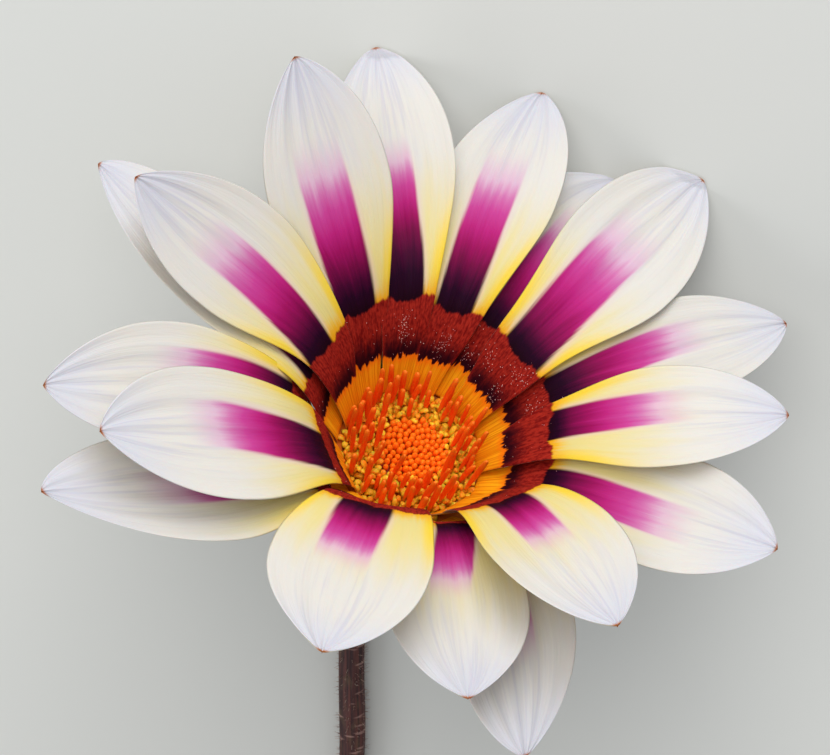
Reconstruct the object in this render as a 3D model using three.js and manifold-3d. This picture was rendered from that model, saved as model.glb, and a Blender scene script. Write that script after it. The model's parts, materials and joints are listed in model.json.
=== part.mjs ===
// A gazania picked with its leafless stem, lying on a flat surface.
// Its seventeen ray florets stand in overlapping layers round a disc of small florets, in a cup of
// joined bracts. The face leans forward on the tips of its front rays, and the stem, bent just below
// the cup, lies behind it. Millimetres, +Z up, the surface at Z = 0, the face leaning towards +Y.
import * as THREE from "three";
import { mergeVertices } from "three/addons/utils/BufferGeometryUtils.js";
import Module from "manifold-3d";

const wasm = await Module();
wasm.setup();

// ---- driving dimensions ----
const HEAD_HEIGHT = 18; // the middle of the ring on which the rays stand, above the surface
const HEAD_TILT = 45; // degrees between the flower's axis and upright
const HEAD_HEADING = 20.5; // degrees from +Y towards +X, the way in which the face leans

const RAY_RING_RADIUS = 7.5; // the uppermost rays' roots, from the flower's axis
const BLADE_THICKNESS = 0.62;
const CLAW_WIDTH = [0.24, 0.46]; // of the ray's width, at its root and where the blade starts
const CUPPING = 0.12; // how far a blade's edges stand up, of its half width
const MIDRIB_DEPTH = 0.12;

const DISC_DEPTH = 2.55; // the foot of the disc, below the rays' roots
const DISC_CORE_RADIUS = 6.8;
const DISC_CORE_THICKNESS = 2.2; // of the ring under the open florets, at its inner wall
const DISC_EDGE_THICKNESS = 1.3;
const BUD_COUNT = 42;
const BUD_RADIUS = 0.5;
const BUD_FIELD_RADIUS = 3.5;
const OPEN_COUNT = 56;
const OPEN_FIELD_RADIUS = 6.3;
const OPEN_FLORET_HEIGHT = 1.9;
const STYLE_RADIUS = 0.26;
const STYLE_LENGTH = 6.2;
const GOLDEN_ANGLE = 137.508;

const CUP_DEPTH = 15; // from the rays' ring down to the stem
const CUP_RIM_RADIUS = 10.7;
const LONG_TEETH = 17;
const LONG_TOOTH_LEAN = 25; // degrees outwards from the flower's axis
const SHORT_TEETH = 13;

const STEM_DIAMETER = 3.2;
const SEAT_GAP = 0.3; // between pieces that touch

// The rays, by their place round the flower. Azimuth is in degrees from the lowest point of the
// face, clockwise from above. Rise and droop are the slope of the blade's middle and how much of it
// the tip loses. Sweep bends the tip sideways and roll turns the blade about its length. Tier is how
// much further out than the uppermost rays it is rooted, claw how wide its foot is, bend the share of
// its length at which it starts to bend outwards, stand the slope of its claw, and twist the share of
// its length at which its roll starts: below zero, the claw is rolled from its root.
const RAYS = [
  // azimuth, length, width, rise, droop, sweep, roll, tier, claw, bend, stand, twist
  [309.0, 39.5, 13.5, 31, 2, 4.0, 15, 0.4, 0.75, 0.12, 65, 0.1],
  [332.0, 41.5, 13.5, 3, 8, 3.0, 13, 0.0, 0.75, 0.12, 65, 0.1],
  [354.5, 38.0, 13.0, 10, 10, 5.0, 10, 0.0, 0.8, 0.12, 65, 0.1],
  [15.5, 34.0, 13.0, 10, 29, 3.0, -1, 1.0, 1.0, 0.12, 65, 0.1],
  [35.5, 42.5, 13.0, 2, 12, -4.5, 0, 0.0, 1.0, 0.12, 65, 0.1],
  [56.0, 39.0, 11.5, 4, 11, -1.0, 3, 1.4, 1.0, 0.12, 65, 0.1],
  [77.0, 36.5, 12.0, 30, 19, -1.0, 4, 0.0, 1.0, 0.12, 65, 0.1],
  [100.0, 36.2, 13.5, 22, 2, -0.5, -4, 1.3, 1.0, 0.12, 65, 0.1],
  [128.5, 38.5, 15.5, 40, 6, 6.0, 13, 0.0, 1.2, 0.25, 72, -0.2],
  [143.0, 37.5, 13.5, 8, 15, 6.5, -3, 2.2, 1.0, 0.23, 72, 0.1],
  [163.5, 37.0, 15.0, 17, -5, 0.5, -4, 1.2, 1.1, 0.25, 73, 0.1],
  [197.0, 43.0, 16.5, 30, -2, -4.5, -22, 0.2, 1.2, 0.23, 67, -0.2],
  [218.5, 39.0, 13.5, 14, 16, 13.0, 0, 2.2, 0.9, 0.12, 65, 0.1],
  [233.0, 39.0, 15.0, 26, 13, 4.5, 2, 0.0, 1.2, 0.14, 65, 0.1],
  [254.0, 41.0, 13.5, 22, 13, -4.5, 1, 2.2, 0.95, 0.12, 65, 0.1],
  [272.5, 40.0, 12.0, 12, 18, 11.0, -2, 1.2, 0.95, 0.12, 65, 0.1],
  [286.5, 40.0, 13.0, 24, 1, -3.0, 9, 0.0, 0.95, 0.12, 65, 0.1],
];

// ---- helpers ----
const radians = THREE.MathUtils.degToRad;

function smooth(low, high, x) {
  return THREE.MathUtils.smoothstep(x, low, high);
}

function toSolid(geometry) {
  const bare = geometry.clone();
  bare.deleteAttribute("normal");
  bare.deleteAttribute("uv");
  const merged = mergeVertices(bare, 1e-4);
  const triVerts = Uint32Array.from(merged.index.array);
  const vertProperties = merged.attributes.position.array;
  return new wasm.Manifold(new wasm.Mesh({ numProp: 3, vertProperties, triVerts }));
}

function toGeometry(solid) {
  const mesh = solid.getMesh();
  const geometry = new THREE.BufferGeometry();
  geometry.setAttribute("position", new THREE.BufferAttribute(mesh.vertProperties, mesh.numProp));
  geometry.setIndex(new THREE.BufferAttribute(mesh.triVerts, 1));
  return geometry;
}

function joined(solids) {
  return toGeometry(solids.reduce((whole, piece) => whole.add(piece)));
}

function lathe(points, sides) {
  return new THREE.LatheGeometry(points.map(([r, z]) => new THREE.Vector2(r, z)), sides).rotateX(Math.PI / 2);
}

function addMesh(parent, name, geometry, color, roughness) {
  const material = new THREE.MeshStandardMaterial({ color, roughness, metalness: 0 });
  const mesh = new THREE.Mesh(geometry, material);
  mesh.name = name;
  parent.add(mesh);
}

// ---- the flower's place: turned to its heading, then leaned forward ----
const flower = new THREE.Group();
const heading = new THREE.Group();
heading.position.z = HEAD_HEIGHT;
heading.rotation.z = -radians(HEAD_HEADING);
const head = new THREE.Group();
head.rotation.x = -radians(HEAD_TILT);
heading.add(head);
flower.add(heading);
flower.updateMatrixWorld(true);
const toHead = head.matrixWorld.clone().invert();

// A soft tip that would reach below the surface lies flat on it instead.
function restOnSurface(point, lowest) {
  const world = point.applyMatrix4(head.matrixWorld);
  world.z = Math.max(world.z, lowest);
  return world.applyMatrix4(toHead);
}

// ---- ray florets ----
// A ray climbs steeply as a narrow claw, then bends outwards into a broad blade with a pointed tip.
const RAY_ROWS = 13;
const RAY_COLUMNS = 6;
const TIP_CROWDING = 1.3; // rows lie closer together towards the tip

function rayWidth(u, claw) {
  const foot = claw * (CLAW_WIDTH[0] + (CLAW_WIDTH[1] - CLAW_WIDTH[0]) * smooth(0, 0.3, u));
  const blade = (1 - claw * CLAW_WIDTH[1]) * smooth(0.24, 0.64, u);
  const point = Math.max(0, (u - 0.66) / 0.34);
  return (foot + blade) * Math.pow(Math.max(0, 1 - Math.pow(point, 2.1)), 0.7);
}

function raySlope(u, rise, droop, bend, stand) {
  return radians(stand + (rise - stand) * smooth(bend, 0.5, u) - droop * smooth(0.4, 1, u));
}

// The middle line of a ray in its own upright plane: distance from the axis, and height.
function rayMidline(u, length, tier, slopeAt) {
  const steps = 96;
  let [out, up] = [RAY_RING_RADIUS + tier, 0];
  for (let k = 0; k < steps; k++) {
    const slope = slopeAt((u * (k + 0.5)) / steps);
    out += (Math.cos(slope) * u * length) / steps;
    up += (Math.sin(slope) * u * length) / steps;
  }
  return [out, up];
}

function rayGeometry(ray) {
  const [azimuth, length, width, rise, droop, sweep, roll, tier, claw, bend, stand, twist] = ray;
  const angle = radians(azimuth);
  const outward = new THREE.Vector3(Math.sin(angle), Math.cos(angle), 0);
  const sideways = new THREE.Vector3(Math.cos(angle), -Math.sin(angle), 0);
  const slopeAt = (u) => raySlope(u, rise, droop, bend, stand);
  const positions = [];

  // One point of the upper or the lower face; across runs from -1 to 1.
  function addPoint(u, across, face) {
    const [out, up] = rayMidline(u, length, tier, slopeAt);
    const slope = slopeAt(u);
    const turn = radians(roll) * smooth(twist, twist + 0.5, u);
    const halfWidth = (width / 2) * rayWidth(u, claw);
    const above = outward.clone().multiplyScalar(-Math.sin(slope)).setZ(Math.cos(slope));
    const side = sideways.clone().multiplyScalar(Math.cos(turn)).addScaledVector(above, Math.sin(turn));
    const normal = above.multiplyScalar(Math.cos(turn)).addScaledVector(sideways, -Math.sin(turn));
    const midrib = MIDRIB_DEPTH * smooth(0.2, 0.4, u) * (across === 0 ? 1 : 0);
    const lift = CUPPING * halfWidth * (across * across - 0.35) - midrib;
    const point = outward.clone().multiplyScalar(out).setZ(up);
    point.addScaledVector(sideways, sweep * u * u);
    point.addScaledVector(side, across * halfWidth);
    point.addScaledVector(normal, lift + (face * BLADE_THICKNESS) / 2);
    restOnSurface(point, face > 0 ? BLADE_THICKNESS : 0);
    positions.push(point.x, point.y, point.z);
  }

  for (const face of [1, -1]) {
    for (let row = 0; row < RAY_ROWS; row++) {
      const u = 1 - Math.pow(1 - row / RAY_ROWS, TIP_CROWDING);
      for (let column = 0; column <= RAY_COLUMNS; column++) addPoint(u, (2 * column) / RAY_COLUMNS - 1, face);
    }
    addPoint(1, 0, face);
  }

  const perRow = RAY_COLUMNS + 1;
  const perFace = RAY_ROWS * perRow + 1;
  const tip = perFace - 1;
  const index = [];
  // Both faces are split along the same diagonals, so that they stay parallel.
  function addTriangle(a, b, c) {
    index.push(a, b, c, a + perFace, c + perFace, b + perFace);
  }
  for (let row = 0; row < RAY_ROWS - 1; row++) {
    for (let column = 0; column < RAY_COLUMNS; column++) {
      const near = row * perRow + column;
      const far = near + perRow;
      addTriangle(near, near + 1, far + 1);
      addTriangle(near, far + 1, far);
    }
  }
  const last = (RAY_ROWS - 1) * perRow;
  for (let column = 0; column < RAY_COLUMNS; column++) addTriangle(last + column, last + column + 1, tip);

  // The edge runs round the outline, from the root along one side to the tip and back.
  const outline = [];
  for (let column = 0; column < RAY_COLUMNS; column++) outline.push(column);
  for (let row = 0; row < RAY_ROWS; row++) outline.push(row * perRow + RAY_COLUMNS);
  outline.push(tip);
  for (let row = RAY_ROWS - 1; row > 0; row--) outline.push(row * perRow);
  outline.forEach((a, k) => {
    const b = outline[(k + 1) % outline.length];
    index.push(b, a, a + perFace, b, a + perFace, b + perFace);
  });

  const geometry = new THREE.BufferGeometry();
  geometry.setAttribute("position", new THREE.Float32BufferAttribute(positions, 3));
  geometry.setIndex(index);
  return geometry;
}

RAYS.forEach((ray, k) => {
  const name = `ray_floret_${String(k + 1).padStart(2, "0")}`;
  addMesh(head, name, rayGeometry(ray), 0xf1ecdf, 0.55);
});

// ---- disc florets ----
// All stand on one spiral, with the golden angle from each to the next: closed buds in the middle,
// open florets round them.
function spiralPlace(k, radius) {
  const angle = radians(GOLDEN_ANGLE * k);
  return new THREE.Vector3(radius * Math.cos(angle), radius * Math.sin(angle), 0);
}

// A small upright body placed on the disc, leaning outwards from the flower's axis.
function planted(geometry, place, height, lean) {
  const azimuth = Math.atan2(place.y, place.x);
  geometry.rotateY(radians(lean)).rotateZ(azimuth);
  return toSolid(geometry.translate(place.x, place.y, height));
}

function budRadius(k) {
  return BUD_FIELD_RADIUS * Math.sqrt(k / (BUD_COUNT - 1));
}

function openRadius(k) {
  const inner = BUD_FIELD_RADIUS + 0.85;
  return Math.sqrt(inner ** 2 + ((OPEN_FIELD_RADIUS ** 2 - inner ** 2) * k) / (OPEN_COUNT - 1));
}

const BUD_PLINTH_RADIUS = BUD_FIELD_RADIUS + 0.35;
const BUD_PLINTH_HEIGHT = 2.05;

function discBuds() {
  const rim = BUD_PLINTH_RADIUS;
  const profile = [[0, 0], [rim, 0], [rim, BUD_PLINTH_HEIGHT - 0.3], [0, BUD_PLINTH_HEIGHT]];
  const plinth = lathe(profile, 24).translate(0, 0, -DISC_DEPTH);
  const root = BUD_PLINTH_HEIGHT - 0.1 - DISC_DEPTH;
  const buds = [];
  for (let k = 0; k < BUD_COUNT; k++) {
    const bud = lathe([[0, -0.6], [BUD_RADIUS * 0.8, -0.6], [BUD_RADIUS, 0.5], [0, 1]], 6);
    buds.push(planted(bud, spiralPlace(k, budRadius(k)), root, budRadius(k) * 2));
  }
  return joined([toSolid(plinth), ...buds]);
}

// The ring under the open florets falls off towards its edge.
function discOpenFlorets() {
  const inner = BUD_PLINTH_RADIUS + SEAT_GAP;
  const outer = DISC_CORE_RADIUS;
  const slope = [[outer, DISC_EDGE_THICKNESS], [inner, DISC_CORE_THICKNESS]];
  const ring = lathe([[inner, 0], [outer, 0], ...slope, [inner, 0]], 32).translate(0, 0, -DISC_DEPTH);
  const hole = lathe([[0, -4], [inner, -4], [inner, 9], [0, 9]], 32);
  const florets = [];
  for (let k = 0; k < OPEN_COUNT; k++) {
    const radius = openRadius(k);
    const place = spiralPlace(k + BUD_COUNT, radius);
    const lean = 3 * (radius - BUD_FIELD_RADIUS);
    const share = (radius - inner) / (outer - inner);
    const thickness = THREE.MathUtils.lerp(DISC_CORE_THICKNESS, DISC_EDGE_THICKNESS, share);
    const root = thickness - 0.6 - DISC_DEPTH;
    const tube = lathe([[0, -0.4], [0.3, -0.4], [0.5, OPEN_FLORET_HEIGHT - 0.3], [0, OPEN_FLORET_HEIGHT]], 5);
    florets.push(planted(tube, place, root, lean));
    if (k % 2 === 1) {
      const outline = [[0, 1], [STYLE_RADIUS, 1], [STYLE_RADIUS, STYLE_LENGTH - 0.4], [0, STYLE_LENGTH]];
      florets.push(planted(lathe(outline, 4), place, root, lean + 4));
    }
  }
  const body = [toSolid(ring), ...florets].reduce((whole, piece) => whole.add(piece));
  return toGeometry(body.subtract(toSolid(hole)));
}

addMesh(head, "disc_buds", discBuds(), 0xe8680f, 0.6);
addMesh(head, "disc_open_florets", discOpenFlorets(), 0xe9a21c, 0.6);

// ---- involucre: the cup of joined bracts, with their free tips as teeth round its rim ----
// The receptacle inside it is a ledge for the rays round a sunken dish for the disc.
const RECEPTACLE_TOP = -0.15 - SEAT_GAP; // under the rays' roots

function tooth(length, width, thickness) {
  const outline = new THREE.Shape();
  outline.moveTo(-width / 2, -2.4);
  outline.lineTo(width / 2, -2.4);
  outline.lineTo(width / 2, 0);
  outline.quadraticCurveTo(width * 0.42, length * 0.6, 0, length);
  outline.quadraticCurveTo(-width * 0.42, length * 0.6, -width / 2, 0);
  const extrusion = { depth: thickness, bevelEnabled: false, curveSegments: 2 };
  const blade = new THREE.ExtrudeGeometry(outline, extrusion);
  // It stands with its tip up and its thickness pointing outwards, along +X.
  return blade.rotateX(Math.PI / 2).rotateZ(Math.PI / 2);
}

function involucre() {
  const dishRadius = DISC_CORE_RADIUS + SEAT_GAP;
  const dishFloor = -DISC_DEPTH - SEAT_GAP;
  const profile = [
    [0, -CUP_DEPTH], [STEM_DIAMETER * 0.62, -CUP_DEPTH], [3.2, -CUP_DEPTH + 1.6], [6.4, -10.6], [8.6, -7],
    [9.8, -3.4], [CUP_RIM_RADIUS, RECEPTACLE_TOP],
    [dishRadius, RECEPTACLE_TOP], [dishRadius, dishFloor], [0, dishFloor],
  ];
  const pieces = [toSolid(lathe(profile, 24))];
  for (let k = 0; k < LONG_TEETH; k++) {
    const bract = tooth(4.4, 3.2, 0.8).rotateY(radians(LONG_TOOTH_LEAN));
    bract.translate(CUP_RIM_RADIUS - 0.85, 0, -0.6);
    pieces.push(toSolid(bract.rotateZ((2 * Math.PI * k) / LONG_TEETH)));
  }
  for (let k = 0; k < SHORT_TEETH; k++) {
    const bract = tooth(3.2, 2.6, 0.8).rotateY(radians(22)).translate(8.6, 0, -5.6);
    pieces.push(toSolid(bract.rotateZ((2 * Math.PI * (k + 0.4)) / SHORT_TEETH)));
  }
  return joined(pieces);
}

addMesh(head, "involucre", involucre(), 0x6d7f3a, 0.6);

// ---- stem: it leaves the cup along the flower's axis, bends down to the surface and lies on it ----
function stemPath() {
  const axis = new THREE.Vector3(0, 0, 1).transformDirection(head.matrixWorld);
  const top = new THREE.Vector3(0, 0, -CUP_DEPTH - SEAT_GAP).applyMatrix4(head.matrixWorld);
  const lying = STEM_DIAMETER / 2 + 0.02;
  return new THREE.CatmullRomCurve3([
    top,
    top.clone().addScaledVector(axis, -3),
    new THREE.Vector3(-5.8, -17, 2.9),
    new THREE.Vector3(-6.4, -24, lying + 0.1),
    new THREE.Vector3(-6.5, -32, lying),
    new THREE.Vector3(-6.6, -44, lying),
    new THREE.Vector3(-9, -60, lying),
    new THREE.Vector3(-15.5, -78, lying),
    new THREE.Vector3(-26, -95, lying),
  ]);
}

function stemGeometry() {
  const sides = 12;
  const section = new THREE.Shape();
  for (let k = 0; k < sides; k++) {
    const angle = (2 * Math.PI * (k + 0.5)) / sides;
    const x = (STEM_DIAMETER / 2) * Math.cos(angle);
    const y = (STEM_DIAMETER / 2) * Math.sin(angle);
    if (k === 0) section.moveTo(x, y);
    else section.lineTo(x, y);
  }
  section.closePath();
  return new THREE.ExtrudeGeometry(section, { steps: 34, extrudePath: stemPath(), curveSegments: 1 });
}

addMesh(flower, "stem", stemGeometry(), 0x7a4038, 0.65);

// ---- the origin is on the surface, under the middle of the whole flower's box ----
const box = new THREE.Box3().setFromObject(flower, true);
const middle = box.getCenter(new THREE.Vector3());
flower.position.set(-middle.x, -middle.y, 0);

export default flower;
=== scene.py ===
"""The looks of a picked gazania that lies on its front rays and its stem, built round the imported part."""

import json
import math
import random
from dataclasses import dataclass

import bmesh
import bpy
from mathutils import Matrix, Vector
from mathutils.geometry import interpolate_bezier

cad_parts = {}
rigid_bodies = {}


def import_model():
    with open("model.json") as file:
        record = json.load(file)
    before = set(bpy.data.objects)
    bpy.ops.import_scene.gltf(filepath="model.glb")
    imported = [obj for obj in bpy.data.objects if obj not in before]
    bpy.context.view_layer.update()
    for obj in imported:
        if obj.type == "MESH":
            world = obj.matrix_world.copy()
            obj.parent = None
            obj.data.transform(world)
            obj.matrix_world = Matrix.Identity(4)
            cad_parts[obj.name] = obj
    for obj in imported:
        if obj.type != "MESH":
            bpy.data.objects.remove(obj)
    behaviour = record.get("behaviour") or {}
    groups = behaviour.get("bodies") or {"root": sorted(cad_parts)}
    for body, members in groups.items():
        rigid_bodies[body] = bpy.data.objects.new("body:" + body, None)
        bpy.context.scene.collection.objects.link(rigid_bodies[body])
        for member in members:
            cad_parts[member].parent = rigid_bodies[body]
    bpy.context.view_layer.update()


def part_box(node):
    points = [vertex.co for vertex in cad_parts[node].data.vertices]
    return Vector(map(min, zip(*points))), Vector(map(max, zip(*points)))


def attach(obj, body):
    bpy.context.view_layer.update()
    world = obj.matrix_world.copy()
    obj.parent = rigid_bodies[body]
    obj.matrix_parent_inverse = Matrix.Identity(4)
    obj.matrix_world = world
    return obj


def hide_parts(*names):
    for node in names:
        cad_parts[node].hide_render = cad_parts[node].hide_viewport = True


for leftover in list(bpy.data.objects):
    bpy.data.objects.remove(leftover)
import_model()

# ---------------------------------------------------------------------------------------------------
# Stem. A limp, leafless, reddish-brown stalk about 3 mm thick, faintly ridged along its length. It
# leaves the cup along the flower's axis, bends down to the surface and lies there. Its far end is cut
# across: a pale flesh with a ring of strands round a spongy pith.
MM = 0.001  # sizes are in millimetres, apart from those of the surroundings
HEAD_HEIGHT = 18  # of the middle of the ring on which the rays stand, above the surface
HEAD_TILT = 45  # degrees between the flower's axis and upright
HEAD_HEADING = 20.5  # degrees from +Y towards +X, the way in which the face leans
# Under the ring's middle, in millimetres from the low corner of the stem's box:
RING_FROM_STEM_CORNER = Vector((27.353, 95.836, 0))
CUP_DEPTH = 15
STEM_RADIUS = 1.6
STEM_SIDES = 28
STEM_RIDGES = 9
LYING = STEM_RADIUS + 0.02  # height of the stem's middle where it lies on the surface
STEM_COURSE = [
    # its middle beyond the bend, in millimetres from under the ring's middle
    (-5.8, -17, 2.9),
    (-6.4, -24, LYING + 0.1),
    (-6.5, -32, LYING),
    (-6.6, -44, LYING),
    (-9, -60, LYING),
    (-15.5, -78, LYING),
    (-26, -95, LYING),
]
CUT_RINGS = (0.97, 0.9, 0.7, 0.5, 0.25)  # rings of points on the cut end, as shares of its radius
CLOSING_SHARE = 0.02  # of the radius, for the last ring at each end before it is drawn to a point

# The flower's place is worked out in millimetres: on the surface, under the middle of the ring, and
# then in the head's own upright frame, with the flower's axis up.
UNDER_RING = Matrix.Translation(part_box("stem")[0] + RING_FROM_STEM_CORNER * MM) @ Matrix.Scale(MM, 4)
HEAD = (
    UNDER_RING
    @ Matrix.Translation((0, 0, HEAD_HEIGHT))
    @ Matrix.Rotation(-math.radians(HEAD_HEADING), 4, "Z")
    @ Matrix.Rotation(-math.radians(HEAD_TILT), 4, "X")
)


def smooth(low, high, x):
    """A soft step from 0 at low to 1 at high."""
    t = min(1, max(0, (x - low) / (high - low)))
    return t * t * (3 - 2 * t)


def shade(red, green, blue):
    """A colour as a shader wants it, from its screen values of 0 to 255."""
    return (*(((c / 255 + 0.055) / 1.055) ** 2.4 if c > 10 else c / 3295 for c in (red, green, blue)), 1)


class Value:
    """The output of a shader node, which varies over a surface. Expressions on values add Math nodes."""

    def __init__(self, finish, socket):
        self.finish = finish
        self.socket = socket

    def __add__(self, other):
        return self.finish.math("ADD", self, other)

    def __sub__(self, other):
        return self.finish.math("SUBTRACT", self, other)

    def __rsub__(self, other):
        return self.finish.math("SUBTRACT", other, self)

    def __mul__(self, other):
        return self.finish.math("MULTIPLY", self, other)

    def __pow__(self, other):
        return self.finish.math("POWER", self, other)

    def __abs__(self):
        return self.finish.math("ABSOLUTE", self)

    __radd__ = __add__
    __rmul__ = __mul__


class Finish:
    """One material, with the constants of its shader and the nodes that vary over the surface."""

    def __init__(self, name, constants):
        self.material = bpy.data.materials.new(name)
        self.material.use_nodes = True
        self.tree = self.material.node_tree
        self.shader = self.tree.nodes["Principled BSDF"]
        self.fill(self.shader, constants)

    def fill(self, node, sockets):
        """Sets a node's sockets to numbers, or links values to them."""
        for name, value in sockets.items():
            if isinstance(value, Value):
                self.tree.links.new(value.socket, node.inputs[name])
            else:
                node.inputs[name].default_value = value

    def node(self, kind, settings, sockets, output=0):
        """Adds a node of that kind: its settings come first, then its sockets."""
        made = self.tree.nodes.new(f"ShaderNode{kind}")
        for name, value in settings.items():
            if name == "stops":
                stops = made.color_ramp.elements
                while len(stops) < len(value):
                    stops.new(1)
                for stop, (position, colour) in zip(stops, value):
                    stop.position = position
                    stop.color = colour
            else:
                setattr(made, name, value)
        self.fill(made, sockets)
        return Value(self, made.outputs[output])

    def math(self, operation, *values):
        return self.node("Math", {"operation": operation}, dict(enumerate(values)))

    def attribute(self, name):
        """The three numbers of a vector attribute of the mesh."""
        vector = self.node("Attribute", {"attribute_name": name}, {}, "Vector")
        return [self.node("SeparateXYZ", {}, {0: vector}, axis) for axis in "XYZ"]

    def step(self, low, high, value):
        """A soft step from 0 at low to 1 at high. With low above high it falls instead."""
        sockets = {"Value": value, "From Min": low, "From Max": high}
        return self.node("MapRange", {"interpolation_type": "SMOOTHSTEP"}, sockets)

    def noise(self, x, y, z, detail=2):
        """A cloudy value round 0.5, whose spots are about 1 across in x, y and z."""
        place = self.node("CombineXYZ", {}, {0: x, 1: y, 2: z})
        return self.node("TexNoise", {}, {"Vector": place, "Scale": 1, "Detail": detail})

    def speckle(self, per_metre, detail=2):
        """The same on the object's own coordinates, with that many spots a metre."""
        place = self.node("TexCoord", {}, {}, "Object")
        return self.node("TexNoise", {}, {"Vector": place, "Scale": per_metre, "Detail": detail})

    def mix(self, mask, under, over):
        """The colour under, with the colour over it where the mask is 1."""
        return self.node("Mix", {"data_type": "RGBA"}, {0: mask, 6: under, 7: over}, 2)

    def relief(self, height, depth):
        """Bump, where a height of 1 stands that many millimetres proud."""
        bump = self.node("Bump", {}, {"Height": height, "Distance": depth * MM}, "Normal")
        self.fill(self.shader, {"Normal": bump})


def make_piece(bm, name, finish, slot, *nodes):
    """Makes the bmesh an object that rides on the part and stands for those CAD nodes, if any."""
    mesh = bpy.data.meshes.new(name)
    bmesh.ops.recalc_face_normals(bm, faces=bm.faces)
    bm.to_mesh(mesh)
    bm.free()
    mesh.shade_smooth()
    mesh.materials.append(finish.material)
    made = bpy.data.objects.new(name, mesh)
    bpy.context.scene.collection.objects.link(made)
    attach(made, "root")
    if nodes:
        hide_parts(*nodes)


def smooth_path(points, steps):
    """Points along a smooth curve through the given ones, evenly bent whatever their distances."""
    ends = [2 * points[0] - points[1], *points, 2 * points[-1] - points[-2]]
    path = []
    for before, start, end, after in zip(ends, ends[1:], ends[2:], ends[3:]):
        pairs = ((before, start), (start, end), (end, after))
        first, span, last = (math.sqrt((b - a).length) for a, b in pairs)
        leave = (start - before) / first - (end - before) / (first + span) + (end - start) / span
        arrive = (end - start) / span - (after - start) / (span + last) + (after - end) / last
        reach = span / 3
        path += interpolate_bezier(start, start + leave * reach, end - arrive * reach, end, steps)[:-1]
    return [*path, points[-1]]


def grow(bm, layer, path, sides, radius_at, end_shares=()):
    """Extrudes a ring of vertices along the path and closes both ends. End shares are rings on the end
    face, as shares of its radius. The attribute holds the distance along the path, and the place in
    the cross-section with 1 on the skin."""
    distances = [0]
    for a, b in zip(path, path[1:]):
        distances.append(distances[-1] + (b - a).length)
    directions = [(b - a).normalized() for a, b in zip(path, path[1:])]
    directions.append(directions[-1])
    spokes = [directions[0].orthogonal().normalized()]
    for a, b in zip(directions, directions[1:]):
        spokes.append(a.rotation_difference(b) @ spokes[-1])
    last = len(path) - 1
    sections = [(0, CLOSING_SHARE), *((k, 1) for k in range(len(path)))]
    sections += [(last, share) for share in (*end_shares, CLOSING_SHARE)]
    ring = bmesh.ops.create_circle(bm, segments=sides, radius=1)["verts"]
    edges = list({edge for vert in ring for edge in vert.link_edges})
    for vert in ring:
        vert[layer] = (0, vert.co.x, vert.co.y)
    first_ring = ring
    for place, share in sections:
        if ring is None:
            made = bmesh.ops.extrude_edge_only(bm, edges=edges)["geom"]
            edges = [e for e in made if isinstance(e, bmesh.types.BMEdge)]
            ring = [v for v in made if isinstance(v, bmesh.types.BMVert)]
        for vert in ring:
            angle = math.atan2(vert[layer].z, vert[layer].y)
            spoke = Matrix.Rotation(angle, 3, directions[place]) @ spokes[place]
            vert.co = path[place] + spoke * radius_at(distances[place], angle) * share
            vert[layer] = (distances[place], share * math.cos(angle), share * math.sin(angle))
        ring_verts = ring
        ring = None
    for end in (first_ring, ring_verts):
        middle = sum((vert.co for vert in end), Vector()) / len(end)
        bmesh.ops.pointmerge(bm, verts=end, merge_co=middle)


def stem_radius(distance, angle):
    swell = 0.06 * math.sin(distance / 7) + 0.04 * math.sin(distance / 2.3 + 1)
    ridges = 0.03 * math.cos(STEM_RIDGES * angle)
    return STEM_RADIUS - 0.1 + swell + ridges


stem_finish = Finish("stem_skin", {"Specular IOR Level": 0.35})
length, around_x, around_y = stem_finish.attribute("stem_place")
streak = stem_finish.noise(around_x * 5, around_y * 5, length * 0.12)
patch = stem_finish.noise(around_x * 1.2, around_y * 1.2, length * 0.5, 4)
scar = stem_finish.noise(around_x * 0.5, around_y * 0.5, length * 1.7, 1)
skin = stem_finish.mix(stem_finish.step(0.35, 0.68, streak), shade(46, 21, 22), shade(88, 47, 42))
skin = stem_finish.mix(stem_finish.step(0.5, 0.75, patch) * 0.5, skin, shade(90, 72, 50))
skin = stem_finish.mix(stem_finish.step(0.64, 0.72, scar) * 0.5, skin, shade(168, 132, 122))
middle = (around_x**2 + around_y**2) ** 0.5
flesh = stem_finish.mix(stem_finish.step(0.5, 0.62, middle), shade(226, 226, 196), shade(172, 186, 120))
flesh = stem_finish.mix(stem_finish.step(0.74, 0.86, middle), flesh, shade(120, 132, 74))
skin = stem_finish.mix(stem_finish.step(0.99, 0.95, middle), skin, flesh)
stem_finish.fill(stem_finish.shader, {"Base Color": skin, "Roughness": 0.5 + 0.25 * streak})
stem_finish.relief(streak + 0.5 * scar, 0.12)

head_from_under = UNDER_RING.inverted() @ HEAD
stem_top = head_from_under @ Vector((0, 0, 0.4 - CUP_DEPTH))
stem_bend = head_from_under @ Vector((0, 0, -CUP_DEPTH - 3.3))
stem_path = smooth_path([stem_top, stem_bend, *map(Vector, STEM_COURSE)], 26)
bm = bmesh.new()
stem_place = bm.verts.layers.float_vector.new("stem_place")
grow(bm, stem_place, stem_path, STEM_SIDES, stem_radius, CUT_RINGS)
bmesh.ops.transform(bm, matrix=UNDER_RING, verts=bm.verts)
for vert in bm.verts:
    vert.co.z = max(0, vert.co.z)
make_piece(bm, "stem_skin", stem_finish, "stem", "stem")

# ---------------------------------------------------------------------------------------------------
# Stem hairs. Short, soft, pale hairs that stand out all round the stem's skin, except where it lies on
# the surface. Each is a thin cone of three sides.
HAIR_COUNT = 1500
HAIR_LENGTHS = (0.35, 0.8)
HAIR_RADII = (0.035, 0.008)  # at the root and at the tip

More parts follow.
